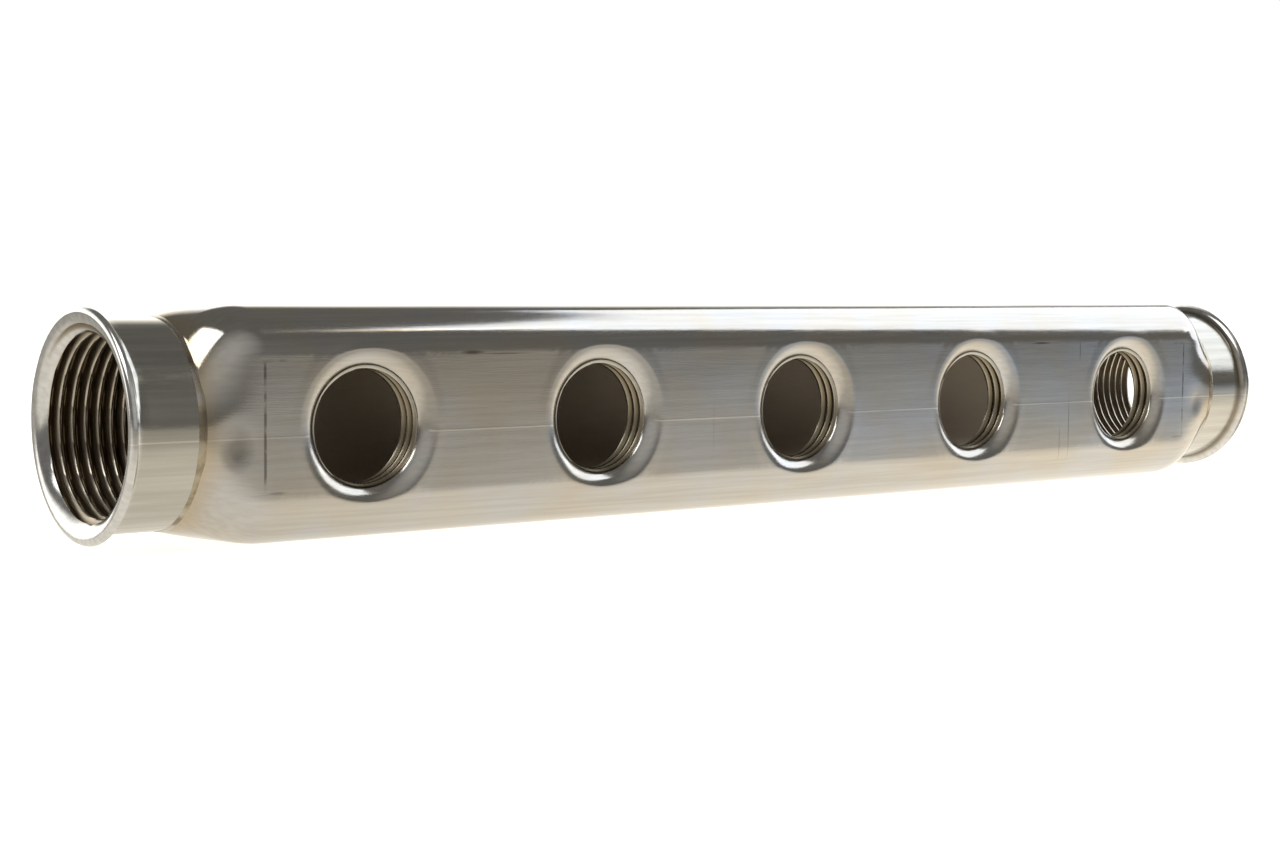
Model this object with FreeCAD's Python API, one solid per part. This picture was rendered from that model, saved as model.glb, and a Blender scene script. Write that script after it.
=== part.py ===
import FreeCAD, Part
import math
import os

from FreeCAD import Vector

# Distribution manifold bar for heating circuits, stainless steel, welded together.
# X runs along the bar, the outlets face -Y, +Z is up, and the origin is the middle
# of the bar's axis. Millimetres. Nothing on it moves.

# Whitworth pipe threads: pitch, crest radius and root radius
G1 = {"pitch": 2.309, "crest": 15.1455, "root": 16.6245}
G_HALF = {"pitch": 1.814, "crest": 9.3155, "root": 10.4775}
THREAD_OVERCUT = 0.1  # the cutter starts this far inside the crests
THREAD_LEADS = (1.25, 1.5, 1.1, 1.35, 1.7, 1.9)  # turns run in before the blank

# Body shell
BODY_DEPTH = 35.6  # front face to back face
BODY_HEIGHT = 39.7
BODY_CORNER_RADIUS = 8.2  # outside
BODY_WALL = 1.75
SHOULDER_LENGTH = 12.0  # from the shell's round mouth to its full section
SHOULDER_STATIONS = 7
MOUTH_RISE = 0.25  # the mouth stands this far above the neck it is welded to
MOUTH_FLAT = 0.3  # half of the last of the flat that is left in the round mouth

# End sockets: a flared rim, a plain neck, and a spigot inside the shell
NECK_LENGTH = 13.0  # from the rim to the weld
NECK_WALL = 1.075  # over the thread's roots
SPIGOT_LENGTH = 5.0
SPIGOT_WALL = 0.525  # over the thread's roots
SPIGOT_CLEARANCE = 0.05
RIM_FLARE = 1.7  # the rim stands this far outside the neck
RIM_FILLET = 1.9  # hollow fillet under the rim
RIM_ROUND = 0.5  # rounding of the lip
RIM_LAND = 0.25  # short cylinder between the fillet and the rounding
RIM_LIP = 0.6  # from the rim's outer edge in to its mouth
RIM_CONE_DEPTH = 3.0  # from the lip to the thread's crests

# Outlets in the front face
PORT_COUNT = 5
PORT_PITCH = 50.0
PORT_TO_RIM = 44.0  # from the last outlet's axis to the rim
PORT_HEIGHT = -0.6  # the outlets' row lies a little under the bar's axis
PORT_ROLL = 2.4  # the face begins to roll in this far outside the collar's mouth
COLLAR_MOUTH = 0.025  # the collar's countersink opens this far outside the thread's roots
COLLAR_LENGTH = 4.25
COLLAR_WALL = 1.825  # over the thread's roots
COLLAR_CLEARANCE = 0.05  # between the collar and its seat in the shell

# Weld metal
SEAM_GROOVE_SLOPE = 0.5  # rise of the groove on the shell for each mm along the bar
SEAM_GROOVE_RUN = 0.7
SEAM_GROOVE_REACH = 2.0  # the groove's cutter goes this far along the shell
SEAM_TOE = 0.6  # reach of the bead along the neck
SEAM_CROWN = 0.3  # bead above the straight line from toe to toe
PORT_WELD_LEG = 1.2

ROUND_TURN = 360.0
OVERRUN = 1.0  # cutters run past the faces that they cut

port_xs = [(n - (PORT_COUNT - 1) / 2) * PORT_PITCH for n in range(PORT_COUNT)]
weld_x = port_xs[-1] + PORT_TO_RIM - NECK_LENGTH
shoulder_x = weld_x - SHOULDER_LENGTH
socket_length = NECK_LENGTH + SPIGOT_LENGTH
front_y = -BODY_DEPTH / 2
neck_radius = G1["root"] + NECK_WALL
spigot_radius = G1["root"] + SPIGOT_WALL
rim_radius = neck_radius + RIM_FLARE
mouth_radius = neck_radius + MOUTH_RISE
port_ring_radius = G_HALF["root"] + COLLAR_MOUTH
port_lip_radius = port_ring_radius + PORT_ROLL
collar_radius = G_HALF["root"] + COLLAR_WALL


def lerp(start, end, share):
    return start + (end - start) * share


def ease(share):
    """Smooth step: 0 at 0 and 1 at 1, level at both ends."""
    return share * share * (3.0 - 2.0 * share)


def rounded_section(x, half_depth, half_height, radius):
    """Closed outline of a rounded rectangle in the plane at x."""
    flat_y, flat_z = half_depth - radius, half_height - radius
    diagonal = radius * math.sqrt(0.5)
    edges = []
    for quarter, (sign_y, sign_z) in enumerate(((1, 1), (-1, 1), (-1, -1), (1, -1))):
        centre = Vector(x, sign_y * flat_y, sign_z * flat_z)
        side = centre + Vector(0, sign_y * radius, 0)
        corner = centre + Vector(0, sign_y * diagonal, sign_z * diagonal)
        cap = centre + Vector(0, 0, sign_z * radius)
        first, last = (side, cap) if quarter % 2 == 0 else (cap, side)
        if edges:
            edges.append(Part.makeLine(edges[-1].lastVertex().Point, first))
        edges.append(Part.Arc(first, corner, last).toShape())
    edges.append(Part.makeLine(edges[-1].lastVertex().Point, edges[0].firstVertex().Point))
    return Part.Wire(edges)


def body_section(x, inset):
    """Outline of the body at x, drawn in by inset on every side."""
    share = ease(min(max((weld_x - abs(x)) / SHOULDER_LENGTH, 0.0), 1.0))
    half_depth = lerp(mouth_radius, BODY_DEPTH / 2, share) - inset
    half_height = lerp(mouth_radius, BODY_HEIGHT / 2, share) - inset
    radius = lerp(mouth_radius - MOUTH_FLAT, BODY_CORNER_RADIUS, share) - inset
    return rounded_section(x, half_depth, half_height, radius)


def body_form(inset):
    """The body's outer form, or with an inset its hollow, as one solid."""
    straight = Part.Face(body_section(-shoulder_x, inset)).extrude(Vector(2 * shoulder_x, 0, 0))
    stations = [n / (SHOULDER_STATIONS - 1) for n in range(SHOULDER_STATIONS)]
    shoulders = []
    for side in (-1, 1):
        sections = [body_section(side * lerp(shoulder_x, weld_x, s), inset) for s in stations]
        shoulders.append(Part.makeLoft(sections, True, False))
    return straight.multiFuse(shoulders).removeSplitter()


def turned(outline):
    """Solid of revolution about Z. The outline is a list of edges in (radius, 0, z)."""
    return Part.Face(Part.Wire(outline)).revolve(Vector(), Vector(0, 0, 1), ROUND_TURN)


def polygon(points):
    """Closed outline through (radius, z) points, as a list of edges."""
    corners = [Vector(radius, 0, z) for radius, z in points]
    return Part.makePolygon(corners + corners[:1]).Edges


def sleeve(outer, inner, length):
    return Part.makeCylinder(outer, length).cut(Part.makeCylinder(inner, length))


def thread_cutter(thread, length, lead):
    """Helical 55 degree groove about Z that runs lead turns past both ends of length."""
    pitch, crest, root = thread["pitch"], thread["crest"], thread["root"]
    mouth = crest - THREAD_OVERCUT
    half_width = (root - mouth) * math.tan(math.radians(55.0 / 2))
    helix = Part.makeHelix(pitch, length + 2 * lead * pitch, crest)
    corners = [Vector(mouth, 0, -half_width), Vector(root, 0, 0), Vector(mouth, 0, half_width)]
    groove = Part.Wire(helix.Edges).makePipeShell([Part.makePolygon(corners + corners[:1])], True, True)
    groove.translate(Vector(0, 0, -lead * pitch))
    return groove


def tapped(blank, thread, length):
    """The blank sleeve with its thread cut. A cut that the kernel misses is begun
    at another lead, and a thread that can't be cut at all stops the build."""
    pitch, crest, root = thread["pitch"], thread["crest"], thread["root"]
    groove_area = (root - crest) ** 2 * math.tan(math.radians(55.0 / 2))
    expected = groove_area * 2 * math.pi * crest * length / pitch
    for lead in THREAD_LEADS:
        cut = blank.cut(thread_cutter(thread, length, lead))
        removed = blank.Volume - cut.Volume
        if cut.isValid() and 0.9 * expected < removed < 1.3 * expected:
            return cut
    raise ValueError("the thread of pitch %s was not cut" % pitch)


def countersunk(sleeve_solid, mouth, crest, depth, top):
    """Open the mouth at z = top with a cone from radius mouth down to radius crest."""
    slope = (mouth - crest) / depth
    cone = Part.makeCone(
        crest - slope * OVERRUN,
        mouth + slope * OVERRUN,
        depth + 2 * OVERRUN,
        Vector(0, 0, top - depth - OVERRUN),
    )
    return sleeve_solid.cut(cone)


def outside_of_neck():
    """What is turned away outside the neck, the rim's fillet and the spigot."""
    rise = rim_radius - neck_radius
    fillet_run = math.sqrt(RIM_FILLET**2 - (RIM_FILLET - rise) ** 2)
    fillet_end = socket_length - RIM_ROUND - RIM_LAND
    fillet_start = fillet_end - fillet_run
    middle = math.acos((RIM_FILLET - rise) / RIM_FILLET) / 2
    arc = Part.Arc(
        Vector(neck_radius, 0, fillet_start),
        Vector(
            neck_radius + RIM_FILLET * (1 - math.cos(middle)),
            0,
            fillet_start + RIM_FILLET * math.sin(middle),
        ),
        Vector(rim_radius, 0, fillet_end),
    ).toShape()
    far = rim_radius + OVERRUN
    path = [
        Vector(rim_radius, 0, fillet_end),
        Vector(far, 0, fillet_end),
        Vector(far, 0, -OVERRUN),
        Vector(spigot_radius, 0, -OVERRUN),
        Vector(spigot_radius, 0, SPIGOT_LENGTH),
        Vector(neck_radius, 0, SPIGOT_LENGTH),
        Vector(neck_radius, 0, fillet_start),
    ]
    return turned([arc] + Part.makePolygon(path).Edges)


def lip_rounding():
    """What is rounded off the outer edge of the rim."""
    centre_r, centre_z = rim_radius - RIM_ROUND, socket_length - RIM_ROUND
    diagonal = RIM_ROUND * math.sqrt(0.5)
    arc = Part.Arc(
        Vector(rim_radius, 0, centre_z),
        Vector(centre_r + diagonal, 0, centre_z + diagonal),
        Vector(centre_r, 0, socket_length),
    ).toShape()
    far_r, far_z = rim_radius + OVERRUN, socket_length + OVERRUN
    path = [
        Vector(centre_r, 0, socket_length),
        Vector(centre_r, 0, far_z),
        Vector(far_r, 0, far_z),
        Vector(far_r, 0, centre_z),
        Vector(rim_radius, 0, centre_z),
    ]
    return turned([arc] + Part.makePolygon(path).Edges)


def end_socket():
    """Socket about Z: the spigot's end at z = 0, the rim at z = socket_length."""
    blank = sleeve(rim_radius, G1["crest"], socket_length)
    socket = tapped(blank, G1, socket_length)
    socket = socket.cut(outside_of_neck()).cut(lip_rounding())
    return countersunk(socket, rim_radius - RIM_LIP, G1["crest"], RIM_CONE_DEPTH, socket_length)


def seam_bead():
    """Weld bead about Z in the groove between the neck and the shell's mouth.
    z = 0 is the weld plane, and +Z points to the rim."""
    low = Vector(neck_radius, 0, 0)
    toe = Vector(neck_radius, 0, SEAM_TOE)
    heel = Vector(neck_radius + SEAM_GROOVE_SLOPE * SEAM_GROOVE_RUN, 0, -SEAM_GROOVE_RUN)
    chord = toe - heel
    outwards = Vector(chord.z, 0, -chord.x).normalize()
    crown = (toe + heel) * 0.5 + outwards * SEAM_CROWN
    arc = Part.Arc(toe, crown, heel).toShape()
    return turned([arc, Part.makeLine(heel, low), Part.makeLine(low, toe)])


def seam_groove():
    """Weld groove to cut in the shell's mouth, placed as the bead is."""
    far = neck_radius + BODY_HEIGHT
    return turned(
        polygon(
            [
                (neck_radius - SEAM_GROOVE_SLOPE * OVERRUN, OVERRUN),
                (neck_radius + SEAM_GROOVE_SLOPE * SEAM_GROOVE_REACH, -SEAM_GROOVE_REACH),
                (far, -SEAM_GROOVE_REACH),
                (far, OVERRUN),
            ]
        )
    )


def port_cutter():
    """Opening of one outlet about Z: the face at z = 0, the rolled lip, and the
    collar's seat. +Z points out of the outlet."""
    run = port_lip_radius - port_ring_radius
    roll = (run**2 + BODY_WALL**2) / (2 * BODY_WALL)
    middle = math.acos(1 - BODY_WALL / roll) / 2
    arc = Part.Arc(
        Vector(port_lip_radius, 0, 0),
        Vector(port_lip_radius - roll * math.sin(middle), 0, -roll * (1 - math.cos(middle))),
        Vector(port_ring_radius, 0, -BODY_WALL),
    ).toShape()
    seat = collar_radius + COLLAR_CLEARANCE
    floor = -BODY_WALL - COLLAR_LENGTH
    path = [
        Vector(port_ring_radius, 0, -BODY_WALL),
        Vector(seat, 0, -BODY_WALL),
        Vector(seat, 0, floor),
        Vector(0, 0, floor),
        Vector(0, 0, OVERRUN),
        Vector(port_lip_radius, 0, OVERRUN),
        Vector(port_lip_radius, 0, 0),
    ]
    return turned([arc] + Part.makePolygon(path).Edges)


def port_collar():
    """Threaded collar about Z, its inner end at z = 0 and its mouth at COLLAR_LENGTH."""
    collar = tapped(sleeve(collar_radius, G_HALF["crest"], COLLAR_LENGTH), G_HALF, COLLAR_LENGTH)
    depth = port_ring_radius - G_HALF["crest"]
    return countersunk(collar, port_ring_radius, G_HALF["crest"], depth, COLLAR_LENGTH)


def port_fillet():
    """Fillet weld about Z round the collar, against the wall's inside at z = 0."""
    toe = collar_radius + PORT_WELD_LEG
    return turned(polygon([(collar_radius, 0), (toe, 0), (collar_radius, -PORT_WELD_LEG)]))


def at_end(shape, side, x):
    """Turn a shape about Z to lie along the bar: +Z points out of the end on that side."""
    placed = shape.copy()
    placed.rotate(Vector(), Vector(0, 1, 0), 90.0 * side)
    placed.translate(Vector(side * x, 0, 0))
    return placed


def at_port(shape, x, depth):
    """Turn a shape about Z to face out of the outlet at x, its z = 0 at depth in the wall."""
    placed = shape.copy()
    placed.rotate(Vector(), Vector(1, 0, 0), 90.0)
    placed.translate(Vector(x, front_y + depth, PORT_HEIGHT))
    return placed


def body_shell(hollow):
    """Formed tube: round mouths, soft shoulders, and five openings rolled in."""
    shell = body_form(0.0).cut(hollow)
    counterbore = Part.makeCylinder(spigot_radius + SPIGOT_CLEARANCE, SPIGOT_LENGTH + OVERRUN)
    for side in (-1, 1):
        shell = shell.cut(at_end(counterbore, side, weld_x - SPIGOT_LENGTH))
        shell = shell.cut(at_end(seam_groove(), side, weld_x))
    for x in port_xs:
        shell = shell.cut(at_port(port_cutter(), x, 0.0))
    return shell


def build():
    """All the pieces by name."""
    hollow = body_form(BODY_WALL)
    pieces = {"body_shell": body_shell(hollow)}
    socket, bead = end_socket(), seam_bead()
    for name, side in (("left", -1), ("right", 1)):
        pieces[name + "_end_socket"] = at_end(socket, side, weld_x - SPIGOT_LENGTH)
        pieces[name + "_end_weld"] = at_end(bead, side, weld_x)
    collar, fillet = port_collar(), port_fillet()
    for number, x in enumerate(port_xs, start=1):
        pieces["port_collar_%d" % number] = at_port(collar, x, BODY_WALL + COLLAR_LENGTH)
        pieces["port_weld_%d" % number] = at_port(fillet, x, BODY_WALL).common(hollow)
    return pieces


os.makedirs("parts", exist_ok=True)
for node, shape in build().items():
    shape.exportStep("parts/%s.step" % node)
    print("%-20s %d solid, valid %s, %.1f mm3" % (node, len(shape.Solids), shape.isValid(), shape.Volume))
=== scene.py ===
"""Distribution manifold bar: a formed stainless body with five threaded outlets
and a threaded, flared socket welded into each end."""

import logging
import math
from collections.abc import Iterable
from dataclasses import dataclass, field
from enum import Enum

import bmesh
import bpy
from mathutils import Matrix, Vector, noise

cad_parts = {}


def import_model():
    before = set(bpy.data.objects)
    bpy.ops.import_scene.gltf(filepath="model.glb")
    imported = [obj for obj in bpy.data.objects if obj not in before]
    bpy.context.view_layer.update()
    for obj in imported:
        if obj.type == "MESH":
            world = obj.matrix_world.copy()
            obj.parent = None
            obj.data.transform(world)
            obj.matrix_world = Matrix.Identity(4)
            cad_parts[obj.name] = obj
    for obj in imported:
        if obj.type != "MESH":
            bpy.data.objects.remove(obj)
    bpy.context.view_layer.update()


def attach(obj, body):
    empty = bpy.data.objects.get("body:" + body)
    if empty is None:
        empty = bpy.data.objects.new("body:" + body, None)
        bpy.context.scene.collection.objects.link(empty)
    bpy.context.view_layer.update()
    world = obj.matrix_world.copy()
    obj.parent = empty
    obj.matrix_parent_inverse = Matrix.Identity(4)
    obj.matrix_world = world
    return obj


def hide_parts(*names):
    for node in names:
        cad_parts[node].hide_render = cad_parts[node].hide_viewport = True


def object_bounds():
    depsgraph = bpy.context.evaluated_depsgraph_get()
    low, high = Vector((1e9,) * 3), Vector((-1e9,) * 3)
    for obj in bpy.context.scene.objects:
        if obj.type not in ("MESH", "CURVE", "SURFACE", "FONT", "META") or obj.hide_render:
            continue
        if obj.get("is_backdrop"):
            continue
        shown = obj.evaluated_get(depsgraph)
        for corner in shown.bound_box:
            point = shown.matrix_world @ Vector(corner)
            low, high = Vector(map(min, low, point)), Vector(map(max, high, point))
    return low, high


MM = 0.001
BODY = "root"
FULL_TURN = 2 * math.pi
FLOOR_GAP = 0.0001  # under the bar, in metres
WELD_DISTANCE = 0.002  # doubles closer than this are one point, in millimetres
SHARP_EDGE = math.radians(38)
LAYER_GAP = 0.01  # slack when a mesh point is told by its radius or place, in millimetres
PORT_HEIGHT = -0.6  # Z of the outlets' axes, in millimetres
PORT_FACE = -16.05  # Y of the front wall's inner side, in millimetres
CLOSING_HEIGHT = -1.7  # Z of the fine line where the die closes, in millimetres
CLOSING_HALF_WIDTH = 0.2
FRONT_FADE = (-17.2 * MM, -17.5 * MM)  # Y over which the closing line fades in
MARK_FADE = (-16.9 * MM, -17.4 * MM)  # Y over which the die's marks fade in
NOISE_LOW, NOISE_HIGH = 0.3, 0.7  # most of a noise's values lie between these

logging.basicConfig(level=logging.INFO, format="%(message)s")
log = logging.getLogger("manifold")


class Slot(Enum):
    """The record's material slots."""

    FORMED = "formed_stainless"
    TURNED = "turned_stainless"
    TAPPED = "threaded_stainless"
    WELD = "weld_metal"


class Side(Enum):
    """The two ends of the bar, by the direction that each faces along X."""

    LEFT = -1
    RIGHT = 1


# ---------------------------------------------------------------- small tools


def lerp(start: float, end: float, share: float) -> float:
    """Return the value that lies share of the way from start to end."""
    return start + (end - start) * share


def clamp(value: float, low: float = 0.0, high: float = 1.0) -> float:
    """Return value held between low and high."""
    return min(max(value, low), high)


def smooth(value: float) -> float:
    """Return an eased step that is level at 0 and at 1."""
    held = clamp(value)
    return held * held * (3 - 2 * held)


def bell(distance: float, reach: float) -> float:
    """Return a bump that is 1 at no distance and has faded at about twice its reach."""
    return math.exp(-((distance / reach) ** 2))


def linear(colour: str) -> tuple[float, float, float, float]:
    """Turn an sRGB hex colour to the linear values that a shader takes.

    Args:
        colour: Six hex digits.

    Returns:
        Red, green, blue and an alpha of 1.
    """
    parts = [int(colour[n : n + 2], 16) / 255 for n in (0, 2, 4)]
    red, green, blue = (
        part / 12.92 if part <= 0.04045 else ((part + 0.055) / 1.055) ** 2.4 for part in parts
    )
    return red, green, blue, 1.0


def per_mm(spacing: float) -> float:
    """Return the texture scale, per metre, whose features are spacing millimetres apart."""
    return 1 / (spacing * MM)


def add_node(
    tree: bpy.types.NodeTree,
    kind: str,
    inputs: dict[int | str, object] | None = None,
    **settings: object,
) -> bpy.types.NodeOutputs:
    """Add one shader node with its settings and links.

    Args:
        tree: The node tree that it joins.
        kind: The node's type name, without the ShaderNode in front.
        inputs: The value of each input, or the output socket that feeds it.
        settings: The node's own properties.

    Returns:
        The new node's outputs.
    """
    made = tree.nodes.new("ShaderNode" + kind)
    for name, setting in settings.items():
        setattr(made, name, setting)
    for name, given in (inputs or {}).items():
        if isinstance(given, bpy.types.NodeSocket):
            tree.links.new(given, made.inputs[name])
        else:
            made.inputs[name].default_value = given
    return made.outputs


def new_material(name: str) -> tuple[bpy.types.Material, bpy.types.NodeTree]:
    """Start a material with an empty node tree and return both."""
    material = bpy.data.materials.new(name)
    material.use_nodes = True
    material.node_tree.nodes.clear()
    return material, material.node_tree


def weld_doubles(mesh: bmesh.types.BMesh) -> None:
    """Make one point of each set of points in the same place."""
    bmesh.ops.remove_doubles(mesh, verts=mesh.verts, dist=WELD_DISTANCE)


def face_outwards(mesh: bmesh.types.BMesh) -> None:
    """Merge the doubles, then point every face out of the metal."""
    weld_doubles(mesh)
    bmesh.ops.recalc_face_normals(mesh, faces=mesh.faces)


def chain(
    mesh: bmesh.types.BMesh, points: Iterable[tuple[float, float]]
) -> list[bmesh.types.BMVert | bmesh.types.BMEdge]:
    """Draw an open outline to spin.

    Args:
        mesh: The mesh that takes the outline.
        points: Radius and height of each point.

    Returns:
        The outline's points and edges.
    """
    dots = [mesh.verts.new((radius, 0, height)) for radius, height in points]
    lines = [mesh.edges.new(pair) for pair in zip(dots, dots[1:])]
    return dots + lines


def spin_round(
    mesh: bmesh.types.BMesh,
    outline: list[bmesh.types.BMVert | bmesh.types.BMEdge],
    steps: int,
) -> None:
    """Turn an outline a full turn about Z.

    Args:
        mesh: The mesh that holds the outline.
        outline: Its points and edges.
        steps: How many steps the turn has.
    """
    bmesh.ops.spin(
        mesh,
        geom=outline,
        cent=(0, 0, 0),
        axis=(0, 0, 1),
        dvec=(0, 0, 0),
        angle=FULL_TURN,
        steps=steps,
        use_merge=True,
        use_normal_flip=False,
        use_duplicate=False,
    )


def place_at_end(side: Side, distance: float) -> Matrix:
    """Lay a shape about Z along the bar, facing out of one end.

    Args:
        side: The end of the bar.
        distance: How far from the middle the shape's zero lies, in millimetres.

    Returns:
        The matrix that places the shape.
    """
    turned = Matrix.Rotation(math.radians(90), 4, "Y")
    if side is Side.LEFT:
        turned = Matrix.Rotation(math.pi, 4, "Z") @ turned
    return Matrix.Translation((side.value * distance, 0, 0)) @ turned


def finish_piece(
    mesh: bmesh.types.BMesh,
    name: str,
    material: bpy.types.Material,
    node: str,
) -> bpy.types.Object:
    """Turn a mesh in millimetres to a piece of the model in metres.

    Args:
        mesh: The finished mesh, in place. It is freed here.
        name: The piece's name.
        material: What it is dressed in.
        node: The CAD node that it stands for.

    Returns:
        The object, which rides on the bar.
    """
    bmesh.ops.scale(mesh, vec=(MM, MM, MM), verts=mesh.verts)
    for face in mesh.faces:
        face.smooth = True
    for edge in mesh.edges:
        edge.smooth = not edge.is_manifold or edge.calc_face_angle(0) < SHARP_EDGE
    data = bpy.data.meshes.new(name)
    mesh.to_mesh(data)
    mesh.free()
    data.materials.append(material)
    piece = bpy.data.objects.new(name, data)
    bpy.context.scene.collection.objects.link(piece)
    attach(piece, BODY)
    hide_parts(node)
    log.info("%-16s %6d faces for %s", name, len(data.polygons), node)
    return piece


# ------------------------------------------------------------------- finishes

# Where names repeat, a node's inputs go by number. Map Range: 0 the value, 1 and 2 the
# range that it is read over, 3 and 4 what that becomes. Mix: 0 the share, 2 and 3 two
# numbers, 6 and 7 two colours.


def soft_line(
    tree: bpy.types.NodeTree,
    coordinate: bpy.types.NodeSocket,
    place: float,
    half_width: float,
) -> bpy.types.NodeSocket:
    """Draw a soft line across a coordinate.

    Args:
        tree: The node tree.
        coordinate: The coordinate, in metres.
        place: Where the line lies, in millimetres.
        half_width: Half the line's width, in millimetres.

    Returns:
        1 on the line, fading to 0 at half its width.
    """
    away = add_node(tree, "Math", {0: coordinate, 1: place * MM}, operation="SUBTRACT")[0]
    size = add_node(tree, "Math", {0: away}, operation="ABSOLUTE")[0]
    edge = half_width * MM
    return add_node(tree, "MapRange", {0: size, 1: edge, 2: 0.4 * edge})[0]


def closing_line(
    tree: bpy.types.NodeTree, y: bpy.types.NodeSocket, z: bpy.types.NodeSocket
) -> bpy.types.NodeSocket:
    """Draw the fine line that the closing die leaves along the front.

    Args:
        tree: The node tree.
        y: The Y of Object coordinates.
        z: The Z of Object coordinates.

    Returns:
        1 on the line and 0 off it.
    """
    front = add_node(tree, "MapRange", {0: y, 1: FRONT_FADE[0], 2: FRONT_FADE[1]})[0]
    line = soft_line(tree, z, CLOSING_HEIGHT, CLOSING_HALF_WIDTH)
    return add_node(tree, "Math", {0: line, 1: front}, operation="MULTIPLY")[0]


def close_metal(
    tree: bpy.types.NodeTree,
    colour: bpy.types.NodeSocket,
    rough: bpy.types.NodeSocket,
    bumps: Iterable[tuple[bpy.types.NodeSocket, float]],
) -> None:
    """Close a metal's tree with its bumps, its shader and its output.

    Args:
        tree: The node tree.
        colour: The metal's colour.
        rough: Its roughness.
        bumps: Each bump's height and its depth in millimetres.
    """
    surface = {"Base Color": colour, "Roughness": rough, "Metallic": 1.0}
    for height, depth in bumps:
        relief = {"Height": height, "Distance": depth * MM}
        if "Normal" in surface:
            relief["Normal"] = surface["Normal"]
        surface["Normal"] = add_node(tree, "Bump", relief)[0]
    shaded = add_node(tree, "BsdfPrincipled", surface)[0]
    add_node(tree, "OutputMaterial", {"Surface": shaded})


@dataclass(frozen=True)
class ScuffAndShade:
    """One dark spot on the front. Most are rubs and scratches; two are painted shade in
    the dents beside the necks. Each has its middle and half its size in millimetres,
    and how dark it is."""

    x: float
    z: float
    half_x: float
    half_z: float
    darkness: float


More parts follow.
